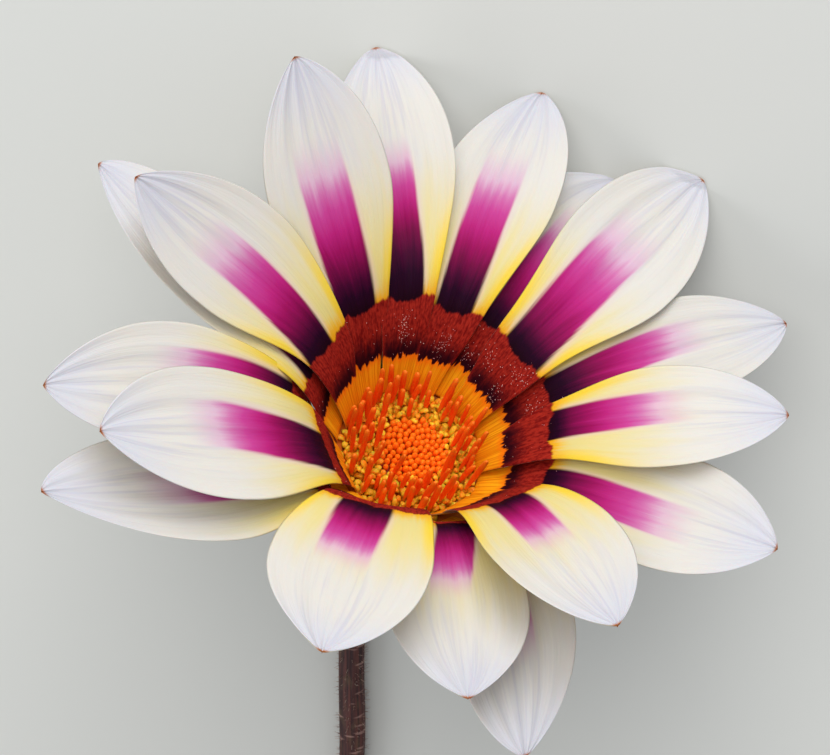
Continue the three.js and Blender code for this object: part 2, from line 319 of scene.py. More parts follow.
hair_finish = Finish("stem_hair", {"Roughness": 0.6, "Specular IOR Level": 0.3})
hair_tint = hair_finish.step(0.35, 0.65, hair_finish.speckle(900))
hair = hair_finish.mix(hair_tint, shade(150, 112, 100), shade(206, 186, 168))
hair_finish.fill(hair_finish.shader, {"Base Color": hair})

bm = bmesh.new()
draw = random.Random(5)
root_radius, tip_radius = HAIR_RADII
for k in range(HAIR_COUNT):
    at = draw.randint(2, len(stem_path) - 3)
    direction = (stem_path[at + 1] - stem_path[at]).normalized()
    foot = stem_path[at].lerp(stem_path[at + 1], draw.random())
    angle = draw.uniform(0, 2 * math.pi)
    spoke = Matrix.Rotation(angle, 3, direction) @ direction.orthogonal().normalized()
    length = draw.uniform(*HAIR_LENGTHS)
    outwards = (spoke + direction * draw.uniform(-0.5, 0.5)).normalized()
    middle = foot + spoke * (STEM_RADIUS - 0.15) + outwards * length / 2
    tip_height = (middle + outwards * length / 2).z
    if tip_height > 0.1:
        placed = Matrix.Translation(middle) @ outwards.to_track_quat("Z", "Y").to_matrix().to_4x4()
        radii = {"radius1": root_radius, "radius2": tip_radius}
        bmesh.ops.create_cone(bm, cap_ends=True, segments=3, depth=length, matrix=placed, **radii)
bmesh.ops.transform(bm, matrix=UNDER_RING, verts=bm.verts)
make_piece(bm, "stem_hairs", hair_finish, "stem")

# ---------------------------------------------------------------------------------------------------
# Involucre. The cup that holds the head: green bracts grown together into one fleshy wall, ribbed
# where they join, with their tips free in two rows of teeth. It is one piece with the receptacle inside
# it: a golden ledge on which the rays stand, round a sunken dish for the small florets.
CUP_PROFILE = [(1.9, -15), (2.2, -14.5), (3.2, -13.4), (6.4, -10.6), (8.6, -7), (9.8, -3.4), (10.7, -0.6)]
LEDGE_HEIGHT = -0.45  # of the receptacle under the rays' roots
DISH_RADIUS = 7.1
DISH_FLOOR = -2.85
LEDGE_PROFILE = [
    (10.6, LEDGE_HEIGHT),
    (9.6, LEDGE_HEIGHT),
    (7.3, LEDGE_HEIGHT),
    (DISH_RADIUS, LEDGE_HEIGHT - 0.2),
    (DISH_RADIUS, DISH_FLOOR),
    (4, DISH_FLOOR),
    (0.02, DISH_FLOOR),
]
CUP_RIB_HEIGHT = 0.16
LONG_TEETH = 17
TEETH = [
    # count, length, width, radius and height of its place on the cup, lean in degrees, shift of the row
    (LONG_TEETH, 4.4, 3.2, 9.85, -0.6, 25, 0),
    (13, 3.2, 2.6, 8.6, -5.6, 22, 0.4),
]
TOOTH_THICKNESS = 0.7
TOOTH_ROOT = 2.4  # how far a tooth's root reaches down the cup below its place


def blade(bm, layer, columns, rows, place, crowding=1.0):
    """Adds a thin closed blade, such as a tooth, lobe or ray: a grid rolled into a flat tube and drawn
    to a point. place(along, across, face) gives its points: along runs from 0 at the root to 1 at the
    tip, across from -1 to 1, and face from -1 underneath to 1 above. The attribute holds the three."""
    grid = bmesh.ops.create_grid(bm, x_segments=columns, y_segments=rows, size=1)["verts"]
    for vert in grid:
        side = 1 - 2 * abs(vert.co.x)
        across = side * (1.25 - 0.25 * side * side)
        along = 1 - ((1 - vert.co.y) / 2) ** crowding
        body = max(0, 1 - across**4) * min(1, along / 0.02, (1 - along) / 0.03)
        face = math.copysign(math.sqrt(max(0, body)), vert.co.x)
        vert.co = place(along, across, face)
        vert[layer] = (along, across, face)
    bmesh.ops.remove_doubles(bm, verts=grid, dist=1e-6)


def turned_body(bm, profile, steps):
    """Spins a profile of points round the flower's axis."""
    verts = [bm.verts.new(point) for point in profile]
    edges = [bm.edges.new(pair) for pair in zip(verts, verts[1:])]
    whole_turn = {"axis": (0, 0, 1), "cent": (0, 0, 0), "angle": 2 * math.pi, "use_merge": True}
    bmesh.ops.spin(bm, geom=verts + edges, steps=steps, **whole_turn)
    bmesh.ops.remove_doubles(bm, verts=bm.verts, dist=0.01)


def tooth_surface(length, width, radius, height, lean, azimuth):
    """A tooth's points: it stands on the cup's wall and leans outwards, with a bent tip and a midrib."""
    to_place = (
        HEAD
        @ Matrix.Rotation(azimuth, 4, "Z")
        @ Matrix.Translation((radius, 0, height))
        @ Matrix.Rotation(math.radians(lean), 4, "Y")
    )

    def place(along, across, face):
        up = -TOOTH_ROOT + (length + TOOTH_ROOT) * along
        taper = 1 - max(0, up / length) ** 1.8
        half = width / 2 * taper
        body = TOOTH_THICKNESS * (0.5 - 0.25 * along)
        midrib = 0.18 * math.exp(-((across / 0.2) ** 2)) * smooth(1, 0.7, along)
        bent = 0.45 * max(0, up / length) ** 3 - 0.25 * across**2 * taper
        out = TOOTH_THICKNESS / 2 + body * face + midrib * (face > 0) + bent
        return to_place @ Vector((out, across * half, up))

    return place


bract_finish = Finish("bract_skin", {"Specular IOR Level": 0.4})
along, across = bract_finish.attribute("bract_place")[:2]
mottle = bract_finish.speckle(700, 4)
grain = bract_finish.speckle(4500)
skin = bract_finish.mix(bract_finish.step(0.3, 0.7, mottle), shade(78, 102, 48), shade(116, 134, 68))
skin = bract_finish.mix(bract_finish.step(0.72, 0.95, abs(across)), skin, shade(186, 188, 132))
skin = bract_finish.mix(bract_finish.step(0.8, 1, along + 0.2 * mottle) * 0.75, skin, shade(128, 74, 56))
skin = bract_finish.mix(bract_finish.step(0.62, 0.7, grain) * 0.4, skin, shade(170, 178, 128))
skin = bract_finish.mix(bract_finish.step(-0.5, -0.9, along), skin, shade(196, 96, 8))
bract_finish.fill(bract_finish.shader, {"Base Color": skin, "Roughness": 0.45 + 0.3 * mottle})
bract_finish.relief(grain + mottle, 0.06)

bm = bmesh.new()
bract_place = bm.verts.layers.float_vector.new("bract_place")
corners = [Vector((radius, 0, height)) for radius, height in CUP_PROFILE]
profile = [Vector((0.02, 0, -CUP_DEPTH)), *smooth_path(corners, 8)]
profile += [Vector((radius, 0, height)) for radius, height in LEDGE_PROFILE]
turned_body(bm, profile, LONG_TEETH * 8)
for vert in bm.verts:
    radius = vert.co.xy.length
    inside = vert.co.z > DISH_FLOOR - 0.01 and radius < 9.7
    vert[bract_place] = (-1 if inside else 0, 0, 0)
    if not inside:
        rib = math.cos(LONG_TEETH * math.atan2(vert.co.y, vert.co.x))
        height = CUP_RIB_HEIGHT * rib * smooth(-14, -9, vert.co.z) * smooth(-0.45, -1.5, vert.co.z)
        vert.co.xy *= 1 + height / max(radius, 1)
bmesh.ops.transform(bm, matrix=HEAD, verts=bm.verts)
for count, length, width, radius, height, lean, shift in TEETH:
    for k in range(count):
        azimuth = 2 * math.pi * (k + shift) / count
        place = tooth_surface(length, width, radius, height, lean, azimuth)
        blade(bm, bract_place, 24, 16, place)
make_piece(bm, "involucre_bracts", bract_finish, "bract", "involucre")

# ---------------------------------------------------------------------------------------------------
# Rays. Seventeen strap-shaped florets, each a soft, thin, slightly cupped blade on a narrow claw. The
# claw is golden at the root and brick red above it, and a magenta stripe runs from it up the white or
# cream blade. Fine veins run the whole length and meet in the pointed tip. They stand in a ring on
# the receptacle and lie over each other; four of the front ones carry the head on their tips.
RAY_RING_RADIUS = 7.5  # the uppermost rays' roots, from the flower's axis
RAY_THICKNESS = 0.4
CLAW_WIDTH = (0.24, 0.46)  # of the ray's width, at its root and where the blade starts
CLAW_SPREAD = 1.1  # the soft claws spread until they touch
FOOT_PULL = 0.55  # how far an outer ray's foot reaches back in towards the disc, of its tier
FOOT_NUDGE = 0.35  # how much further in every foot stands, hard against the disc
FOOT_DROP = 0.3
CUPPING = 0.12  # how far a blade's edges stand up, of its half width
MIDRIB_DEPTH = 0.14
VEIN_RIDGES = 5  # soft ridges side by side across a blade
RIDGE_HEIGHT = 0.05
FOLD_DEPTH = 0.035  # of the half width, for the two folds that run into the tip
EDGE_WAVE = 0.22
TIP_CROWDING = 1.3  # rows lie closer together towards the tip
RAY_COLUMNS = 80
RAY_ROWS = 110
MIDLINE_STEPS = 240
BRICK_END = 11.5  # where the skin's colours have the end of the brick red, in millimetres from the root

# The rays' shapes, by their place round the flower. Azimuth is in degrees from the lowest point of the
# face, clockwise from above. Rise and droop are the slope of the blade's middle and how much of it the
# tip loses. Sweep bends the tip sideways and roll turns the blade about its length. Tier is how much
# further out than the uppermost rays it is rooted, claw how wide its foot is, bend the share of its
# length at which it starts to bend outwards, stand the slope of its claw, and twist the share of its
# length at which its roll starts: below zero, the claw is rolled from its root.
SHAPES = [
    # azimuth, length, width, rise, droop, sweep, roll, tier, claw, bend, stand, twist
    (309.0, 39.5, 13.5, 31, 2, 4.0, 15, 0.4, 0.85, 0.12, 65, 0.1),
    (332.0, 41.5, 13.5, 3, 8, 3.0, 13, 0.0, 0.85, 0.12, 65, 0.1),
    (354.5, 38.0, 13.0, 10, 10, 5.0, 10, 0.0, 0.9, 0.12, 65, 0.1),
    (15.5, 34.8, 14.0, 10, 29, 3.0, -1, 1.0, 1.0, 0.12, 65, 0.1),
    (35.0, 42.5, 14.2, 2, 12, -4.5, 0, 0.0, 1.0, 0.12, 65, 0.1),
    (56.0, 39.0, 11.5, 4, 11, -1.0, 3, 1.4, 1.0, 0.12, 65, 0.1),
    (77.0, 36.5, 12.0, 30, 19, -1.0, 4, 0.0, 1.0, 0.12, 65, 0.1),
    (100.0, 36.2, 13.5, 22, 2, -0.5, -4, 1.3, 1.2, 0.12, 65, 0.1),
    (128.5, 38.5, 15.5, 40, 6, 6.0, 13, 0.0, 1.2, 0.25, 72, -0.2),
    (143.0, 37.5, 13.5, 8, 15, 6.5, -3, 2.2, 1.0, 0.23, 72, 0.1),
    (163.5, 37.0, 15.0, 17, -5, 0.5, -4, 1.2, 1.1, 0.25, 73, 0.1),
    (197.0, 43.0, 16.5, 30, -2, -4.5, -22, 0.2, 1.2, 0.23, 67, -0.2),
    (218.5, 39.0, 13.5, 14, 16, 13.0, 0, 2.2, 0.9, 0.12, 65, 0.1),
    (233.0, 39.0, 15.0, 26, 13, 4.5, 2, 0.0, 1.2, 0.14, 65, 0.1),
    (254.0, 41.0, 13.5, 22, 13, -4.5, 1, 2.2, 1.05, 0.12, 65, 0.1),
    (272.5, 40.0, 12.0, 12, 18, 11.0, -2, 1.2, 1.15, 0.12, 65, 0.1),
    (286.5, 40.0, 13.0, 24, 1, -3.0, 9, 0.0, 0.95, 0.12, 65, 0.1),
]
# Their markings, in the same order: how far out the brick red claw ends, where the dark foot of the
# stripe has turned magenta, and where the magenta has half faded; how far the stripe starts beside the
# midline, how far it then moves, and half its width.
MARKINGS = [
    # brick, dusk, fade, drift, wander, spread
    (11.5, 17, 27, -0.65, 0.4, 2.6),
    (11.6, 19, 27, -0.15, 0.1, 2.2),
    (10.7, 16.5, 26.5, -0.2, 0.0, 2.3),
    (10, 14, 24, 0.0, 0.0, 2.0),
    (10.6, 14.5, 27.5, 0.25, -1.0, 2.9),
    (9.9, 15, 25.5, 0.0, -1.2, 1.8),
    (10.9, 13.6, 23, -0.65, -0.7, 1.9),
    (9.8, 13.5, 23.5, 0.2, 0.5, 2.1),
    (13, 16, 22.5, -0.6, 0.35, 2.6),
    (11.5, 16, 25, -0.3, 0.0, 2.0),
    (12.5, 15.5, 21.5, -1.4, 2.0, 2.2),
    (15, 18.5, 25.5, 0.8, 0.3, 2.9),
    (11.5, 16, 26.5, 0.3, 0.0, 2.1),
    (9.8, 16.2, 25.5, -0.75, 2.0, 2.7),
    (11, 16, 26, 0.2, 1.0, 2.9),
    (10, 15.5, 25, 0.3, 0.0, 2.6),
    (11.6, 16.5, 27.3, -1.2, 0.95, 2.3),
]


@dataclass
class Ray:
    """The shape of one ray in the head's frame, in millimetres."""

    azimuth: float
    length: float
    width: float
    rise: float
    droop: float
    sweep: float
    roll: float
    tier: float
    claw: float
    bend: float
    stand: float
    twist: float
    brick: float
    dusk: float
    fade: float
    drift: float
    wander: float
    spread: float

    def __post_init__(self):
        angle = math.radians(self.azimuth)
        self.outward = Vector((math.sin(angle), math.cos(angle), 0))
        self.sideways = Vector((math.cos(angle), -math.sin(angle), 0))
        draw = random.Random(round(self.azimuth * 10))
        self.folds = [(side * draw.uniform(0.26, 0.44), draw.uniform(0.3, 1.1)) for side in (-1, 1)]
        self.phase = draw.uniform(0, 2 * math.pi)
        self.seed = draw.random()
        step = self.length / MIDLINE_STEPS
        self.midline = [Vector((RAY_RING_RADIUS + self.tier, 0))]
        for k in range(MIDLINE_STEPS):
            slope = self.slope((k + 0.5) / MIDLINE_STEPS)
            self.midline.append(self.midline[-1] + Vector((math.cos(slope), math.sin(slope))) * step)

    def slope(self, along):
        rise = self.stand + (self.rise - self.stand) * smooth(self.bend, 0.5, along)
        return math.radians(rise - self.droop * smooth(0.4, 1, along))

    def half_at(self, along):
        claw = self.claw * CLAW_SPREAD
        foot = claw * (CLAW_WIDTH[0] + (CLAW_WIDTH[1] - CLAW_WIDTH[0]) * smooth(0, 0.3, along))
        wide = (1 - claw * CLAW_WIDTH[1]) * smooth(0.24, 0.64, along)
        point = max(0, (along - 0.66) / 0.34)
        return self.width / 2 * (foot + wide) * max(0, 1 - point**2.1) ** 0.78

    def lift(self, along, across, half):
        """How far the blade's middle surface stands above its midline's plane."""
        cupped = CUPPING * half * (across**2 - 0.35)
        midrib = MIDRIB_DEPTH * smooth(0.2, 0.4, along) * math.exp(-((across / 0.12) ** 2))
        ridges = -RIDGE_HEIGHT * math.cos(VEIN_RIDGES * math.pi * across) * smooth(0.3, 0.6, along)
        folds = sum(depth * math.exp(-(((across - at) / 0.12) ** 2)) for at, depth in self.folds)
        folds *= FOLD_DEPTH * half * smooth(0.5, 0.85, along)
        wave = EDGE_WAVE * math.sin(9 * along + self.phase) * across**3 * smooth(0.35, 0.6, along)
        return cupped - midrib + ridges - folds + wave * min(1, half / 4)

    def place(self, along, across, face):
        """A point of the ray in place, in metres. A soft tip lies flat where it reaches the surface."""
        slope = self.slope(along)
        turn = math.radians(self.roll) * smooth(self.twist, self.twist + 0.5, along)
        half = self.half_at(along)
        above = self.outward * -math.sin(slope) + Vector((0, 0, math.cos(slope)))
        side = self.sideways * math.cos(turn) + above * math.sin(turn)
        normal = above * math.cos(turn) - self.sideways * math.sin(turn)
        before = min(int(along * MIDLINE_STEPS), MIDLINE_STEPS - 1)
        out, up = self.midline[before].lerp(self.midline[before + 1], along * MIDLINE_STEPS - before)
        foot = 1 - smooth(0, 0.13, along)
        out -= (FOOT_PULL * self.tier + FOOT_NUDGE) * foot
        up -= FOOT_DROP * foot
        point = self.outward * out + Vector((0, 0, up)) + self.sideways * self.sweep * along**2
        point += side * across * half
        point += normal * (self.lift(along, across, half) + face * RAY_THICKNESS / 2)
        point = HEAD @ point
        point.z = max(point.z, (face + 1) / 2 * RAY_THICKNESS * MM)
        return point

    def colour_distance(self, distance):
        """The place in the skin's colours, whose brick red ends at one distance for all the rays."""
        if distance < self.brick:
            return distance * BRICK_END / self.brick
        return distance - self.brick + BRICK_END

    def on_stripe(self, along, across):
        """How far a point is along the stripe, and how far beside its middle, of its half width. The
        first is 0.4 where the brick red ends, 0.65 at the dusk and 1 where the magenta has half faded."""
        distance = along * self.length
        if distance < self.dusk:
            reach = 0.4 + 0.25 * (distance - self.brick) / (self.dusk - self.brick)
        else:
            reach = 0.65 + 0.35 * (distance - self.dusk) / (self.fade - self.dusk)
        middle = self.drift + self.wander * smooth(11, 26, distance)
        half = self.spread * (0.9 + 0.1 * smooth(11, 20, distance))
        return reach, (across * self.half_at(along) - middle) / half


def ray_finish():
    """The rays' skin: all the colours by the distance from the root and the place across the blade."""
    petal = {"Subsurface Weight": 0.1, "Subsurface Scale": 0.0005, "Specular IOR Level": 0.05}
    finish = Finish("ray_skin", petal)
    along, across, face = finish.attribute("ray_place")
    distance, to_tip, half = finish.attribute("ray_size")
    reach, beside, seed = finish.attribute("ray_stripe")
    from_middle = abs(across)
    from_edge = half * (1 - from_middle)
    offset = seed * 40
    streak = finish.noise(across * 6 + offset, distance * 0.07, offset, 3)
    vein = finish.noise(across * 15 + offset, distance * 0.1, offset, 3)
    teeth = finish.noise(across * half * 2.4 + offset, offset, distance * 0.3, 4)

    # The blade: cream, paling to a cool white tip, with gold at its foot and along its edges.
    paling = finish.step(15, 29, distance + 8 * (streak - 0.5))
    pale = finish.mix(paling, shade(215, 198, 128), shade(209, 204, 196))
    pale = finish.mix(finish.step(9, 1, to_tip + 5 * (streak - 0.5)), pale, shade(199, 198, 204))
    gold = finish.mix(finish.step(11, 15, distance), shade(230, 158, 20), shade(228, 194, 58))
    edge_gold = finish.step(1.7, 0.2, from_edge + 1.4 * (streak - 0.5)) * finish.step(24, 15, distance)
    foot_gold = finish.step(14.5, 12.2, distance + 3 * (vein - 0.5))
    blade_colour = finish.mix(finish.math("MAXIMUM", edge_gold, foot_gold), pale, gold)
    # Painted shade: grey-lilac lines along the veins in the middle of the outer blade, for the shade in its
    # fine creases.
    crease_shade = finish.step(0.45, 0.85, along) * finish.step(0.9, 0.2, from_middle)
    crease_shade *= finish.step(0.44, 0.68, vein)
    blade_colour = finish.mix(crease_shade * 0.32, blade_colour, shade(170, 166, 190))

    # The stripe: nearly black at its foot, then magenta, fading out in soft streaks.
    reach = reach + 0.1 * (streak - 0.5) + 0.07 * (vein - 0.5)
    stops = [
        (0.40, shade(26, 2, 14)),
        (0.50, shade(34, 2, 28)),
        (0.57, shade(66, 4, 42)),
        (0.65, shade(108, 8, 60)),
        (0.72, shade(146, 14, 84)),
        (0.79, shade(174, 32, 112)),
        (0.87, shade(186, 62, 136)),
        (0.94, shade(194, 106, 160)),
        (1.0, shade(204, 152, 186)),
    ]
    stripe_colour = finish.node("ValToRGB", {"stops": stops}, {0: reach})
    side = finish.step(1.08, 0.88, abs(beside) + 0.14 * (vein - 0.5) + 0.1 * (streak - 0.5))
    stripe = side * finish.step(1.16, 0.9, reach)
    fringe = finish.step(1.3, 1.0, abs(beside)) * finish.step(1.1, 0.8, reach)
    fringe *= finish.step(12, 14, distance)
    blade_colour = finish.mix(fringe * 0.35, blade_colour, shade(212, 176, 196))
    colour = finish.mix(stripe, blade_colour, stripe_colour)

    # The claw: golden root, dark band and brick red, each with a frayed edge.
    brick_edge = distance - 0.6 * finish.step(0.3, 0.6, from_middle) + 1.1 * (teeth - 0.5)
    grain = finish.noise(across * half * 5 + offset, offset, distance * 1.6, 4)
    mottle = finish.step(0.36, 0.64, 0.35 * vein + 0.65 * grain)
    brick = finish.mix(mottle, shade(116, 16, 15), shade(166, 42, 30))
    dark = finish.step(8.8, 5.4, distance + 3 * (teeth - 0.5)) * finish.step(1.15, 0.7, from_middle)
    brick = finish.mix(dark, brick, shade(44, 6, 18))
    root = finish.mix(finish.step(0.35, 0.65, vein), shade(226, 136, 8), shade(252, 180, 24))
    root = finish.mix(finish.step(3.4, 4.9, distance + 2 * (teeth - 0.5)), root, shade(250, 126, 14))
    brick = finish.mix(finish.step(4.9, 4.55, distance + 3.4 * (teeth - 0.5)), brick, root)
    colour = finish.mix(finish.step(BRICK_END + 0.2, BRICK_END - 0.2, brick_edge), colour, brick)

    # The underside: pale, with a dull stripe down its middle. The very tip is orange brown.
    dull = finish.step(0.5, 0.25, from_middle + 0.2 * (streak - 0.5))
    under = finish.mix(dull, shade(208, 202, 182), shade(150, 122, 128))
    colour = finish.mix(finish.step(0.1, -0.1, face), colour, under)
    colour = finish.mix(finish.step(0.45, 0.05, to_tip), colour, shade(184, 108, 52))

    velvet = finish.step(12.5, 10.5, distance)
    finish.fill(finish.shader, {"Base Color": colour, "Roughness": 0.5 + 0.2 * velvet + 0.1 * vein})
    finish.relief((vein + 0.5 * streak) * (1 - 0.65 * velvet), 0.08)
    return finish


petals = ray_finish()
rays = [Ray(*shape, *marking) for shape, marking in zip(SHAPES, MARKINGS)]
for number, ray in enumerate(rays, start=1):
    bm = bmesh.new()
    ray_place = bm.verts.layers.float_vector.new("ray_place")
    ray_size = bm.verts.layers.float_vector.new("ray_size")
    ray_stripe = bm.verts.layers.float_vector.new("ray_stripe")
    blade(bm, ray_place, RAY_COLUMNS, RAY_ROWS, ray.place, TIP_CROWDING)
    for vert in bm.verts:
        distance = vert[ray_place].x * ray.length
        half = ray.half_at(vert[ray_place].x)
        vert[ray_size] = (ray.colour_distance(distance), ray.length - distance, half)
        vert[ray_stripe] = (*ray.on_stripe(*vert[ray_place].xy), ray.seed)
    make_piece(bm, f"ray_{number:02}", petals, "ray", f"ray_floret_{number:02}")

# ---------------------------------------------------------------------------------------------------
# Buds. The unopened florets in the middle of the disc: blunt waxy orange knobs of five closed lobes,
# packed on one spiral with the golden angle from each to the next. They share a low plinth in the dish.
FLORET_LOBES = 5
GOLDEN_ANGLE = math.radians(137.508)
SPIRAL_MIDDLE = (0.55, 0.2, 0)
DISC_FOOT = -2.55
BUD_COUNT = 112
BUD_RADIUS = 0.34
BUD_FIELD_RADIUS = 3.5
BUD_ROOT = -0.75
PLINTH_RADIUS = 3.85
BUD_HEIGHTS = (-0.6, 0, 0.7, 1.2, 1.45, 1.62, 1.7, 1.75)  # of its rings, above its root
PLINTH_HEIGHTS = [-2.55, -1.05, -0.75, -0.6]
PLINTH_SHARES = [1, 1, 0.85, 0.4]


def spiral_place(number, radius):
    """A floret's place on the disc. The middle of the spiral lies a little to one side."""
    angle = GOLDEN_ANGLE * number
    around = Vector((radius * math.cos(angle), radius * math.sin(angle), 0))
    return around + Vector(SPIRAL_MIDDLE) * (1 - (radius / DISH_RADIUS) ** 2)


def planted(place, height, lean, aside=0):
    """Where a small upright body stands on the disc, leaning outwards and aside by so many degrees."""
    return (
        HEAD
        @ Matrix.Translation((place.x, place.y, height))
        @ Matrix.Rotation(math.atan2(place.y, place.x), 4, "Z")
        @ Matrix.Rotation(math.radians(lean), 4, "Y")
        @ Matrix.Rotation(math.radians(aside), 4, "X")
    )


def upright(*heights):
    return [Vector((0, 0, height)) for height in heights]


def merge_into(whole, part, matrix):
    """Adds one small bmesh to a larger one, in place."""
    bmesh.ops.transform(part, matrix=matrix, verts=part.verts)
    loose = bpy.data.meshes.new("loose")
    part.to_mesh(loose)
    part.free()
    whole.from_mesh(loose)
    bpy.data.meshes.remove(loose)


def plinth_radius(distance, angle):
    """The plinth's edge is rounded off towards its top."""
    height = DISC_FOOT + distance
    for low, share in zip(PLINTH_HEIGHTS, PLINTH_SHARES):
        if height > low - 0.01:
            radius = PLINTH_RADIUS * share
    return radius


def bud_radius(distance, angle):
    body = 0.78 + 0.22 * smooth(0.6, 1.7, distance)
    dome = math.sqrt(max(0, 1 - smooth(1.75, 2.36, distance) ** 2.2))
    grooves = 0.18 * math.cos(FLORET_LOBES * angle) * smooth(0.3, 1.3, distance)
    return BUD_RADIUS * body * dome * (1 - grooves)


fleshy = {"Specular IOR Level": 0.3, "Subsurface Weight": 0.5, "Subsurface Scale": 0.0008}
bud_finish = Finish("bud_skin", fleshy)
height, groove, tint = bud_finish.attribute("bud_place")
waxy = bud_finish.speckle(2500)
# Painted shade: the buds are darker and redder low down, where they crowd together, and in the grooves
# between their lobes. The crease at the very top of each dome is darker too.
skin = bud_finish.mix(bud_finish.step(1.0, 2.0, height), shade(236, 76, 2), shade(250, 98, 6))
skin = bud_finish.mix(bud_finish.step(0.3, 1, groove) * 0.7, skin, shade(232, 66, 2))
# Painted highlight: a lighter orange band on the shoulder of each dome.
skin = bud_finish.mix(bud_finish.step(1.95, 2.15, height + 0.2 * tint) * 0.8, skin, shade(255, 138, 20))
skin = bud_finish.mix(bud_finish.step(0.4, 0.7, waxy) * tint, skin, shade(248, 112, 14))
skin = bud_finish.mix(bud_finish.step(2.3, 2.36, height) * 0.7, skin, shade(214, 70, 4))
bud_finish.fill(bud_finish.shader, {"Base Color": skin, "Roughness": 0.36 + 0.2 * waxy})
bud_finish.relief(waxy, 0.05)

bm = bmesh.new()
bud_place = bm.verts.layers.float_vector.new("bud_place")
grow(bm, bud_place, upright(*PLINTH_HEIGHTS), 24, plinth_radius)
# The plinth takes the colour of the buds' feet, with their painted shade.
for vert in bm.verts:
    vert[bud_place] = (0, 0, 0)
bmesh.ops.transform(bm, matrix=HEAD, verts=bm.verts)
draw = random.Random(3)
for k in range(BUD_COUNT):
    radius = BUD_FIELD_RADIUS * math.sqrt(k / (BUD_COUNT - 1))
    bud = bmesh.new()
    layer = bud.verts.layers.float_vector.new("bud_place")
    grow(bud, layer, upright(*BUD_HEIGHTS), 10, bud_radius)
    tint = draw.random()
    for vert in bud.verts:
        groove = math.cos(FLORET_LOBES * math.atan2(vert[layer].z, vert[layer].y))
        vert[layer] = (vert[layer].x, groove, tint)
    lean = radius * 3 + draw.uniform(-2, 2)
    place = planted(spiral_place(k, radius), BUD_ROOT, lean, draw.uniform(-2, 2))
    size = draw.uniform(0.94, 1.08)
    merge_into(bm, bud, place @ Matrix.Diagonal((size, size, size + draw.uniform(-0.14, 0.1), 1)))
make_piece(bm, "disc_bud_cluster", bud_finish, "disc_bud", "disc_buds")

# ---------------------------------------------------------------------------------------------------
# Open florets. Round the buds, each floret has opened into five small golden lobes whose thick tips
# curl back. From most of the outer ones a blunt orange-red style has pushed up through the tube of the
# anthers, all leaning a little to one side. They stand on a ring that falls off outwards.
OPEN_COUNT = 84
OPEN_RADII = (3.95, 7.15)
FRESH_RADIUS = 5  # inside it the florets have just opened, and their lobes curl less
RING_RADII = (4.15, 6.8)
RING_HEIGHTS = (-0.9, -1.3)  # of its top, at its inner and outer edge
RING_BEVEL = 0.2
MOUTH_HEIGHT = 0.5  # of a floret's tube, above the ring
STYLE_RADIUS = 0.33
STYLE_LENGTHS = (4.6, 7.8)
STYLE_SECTIONS = (0, 0.15, 0.3, 0.5, 0.75, 0.88, 0.95, 0.985, 1)  # where it has rings, of its length
LIGHT_SIDE = math.radians(140)  # the way in which the styles lean, anticlockwise from the head's +X
LIGHT_LEAN = 6  # degrees
LOBE, ANTHER, STYLE = 0, 1, 2

floret_finish = Finish("floret_skin", fleshy)
kind, height, tint = floret_finish.attribute("floret_place")
pollen = floret_finish.speckle(6000)
# Painted shade and painted highlight over the lobes' own orange-gold: deeper orange low down between the
# lobes, golden at the tops of their curls.
lobe = floret_finish.mix(floret_finish.step(0.3, 0.8, height), shade(255, 122, 2), shade(255, 172, 14))
tips = floret_finish.step(0.62, 0.95, height + 0.35 * (tint - 0.5))
lobe = floret_finish.mix(tips * 0.9, lobe, shade(255, 202, 46))
lobe = floret_finish.mix(floret_finish.step(0.5, 0.2, tint) * 0.6, lobe, shade(255, 120, 2))
style = floret_finish.mix(floret_finish.step(0.1, 0.35, height), shade(250, 140, 18), shade(255, 94, 4))
# Painted highlight: the style's blunt tip is a lighter orange.
style = floret_finish.mix(floret_finish.step(0.7, 1.0, height), style, shade(255, 120, 18))
style = floret_finish.mix(floret_finish.step(0.5, 0.72, pollen) * 0.6, style, shade(255, 136, 44))
anther = floret_finish.mix(floret_finish.step(0.3, 1.0, height), shade(240, 102, 2), shade(252, 142, 12))
skin = floret_finish.mix(floret_finish.step(0.4, 0.6, kind), lobe, anther)
skin = floret_finish.mix(floret_finish.step(1.4, 1.6, kind), skin, style)
floret_finish.fill(floret_finish.shader, {"Base Color": skin, "Roughness": 0.42 + 0.25 * pollen})
floret_finish.relief(pollen, 0.05)


def mark(bm, layer, kind, height_of, tint_of=lambda vert: 0):
    """Writes what kind of surface the new points are, their share of its height, and a tint."""
    for vert in bm.verts:
        vert[layer] = (kind, height_of(vert), tint_of(vert))


def lobe_surface(turn, spread, reach):
    """A corolla lobe: it rises from the tube's mouth and rolls outwards and back to a thick tip."""
    curl = math.radians(spread)

    def place(along, across, face):
        bend = curl * along**1.2
        out = 0.3 + reach * (1 - math.cos(bend)) / curl
        up = reach * math.sin(bend) / curl * 1.5
        half = 0.35 * (0.7 + 0.5 * along) * min(1, (1 - along) / 0.35) ** 0.5
        body = 0.07 + 0.12 * smooth(0.3, 0.75, along)
        normal = Vector((-math.cos(bend), 0, math.sin(bend)))
        point = Vector((out, across * half, up)) + normal * (face * body)
        return Matrix.Rotation(turn, 3, "Z") @ point

    return place


def tube_radius(distance, angle):
    return 0.28 + 0.12 * distance


def anther_radius(distance, angle):
    return 0.25 - 0.06 * distance


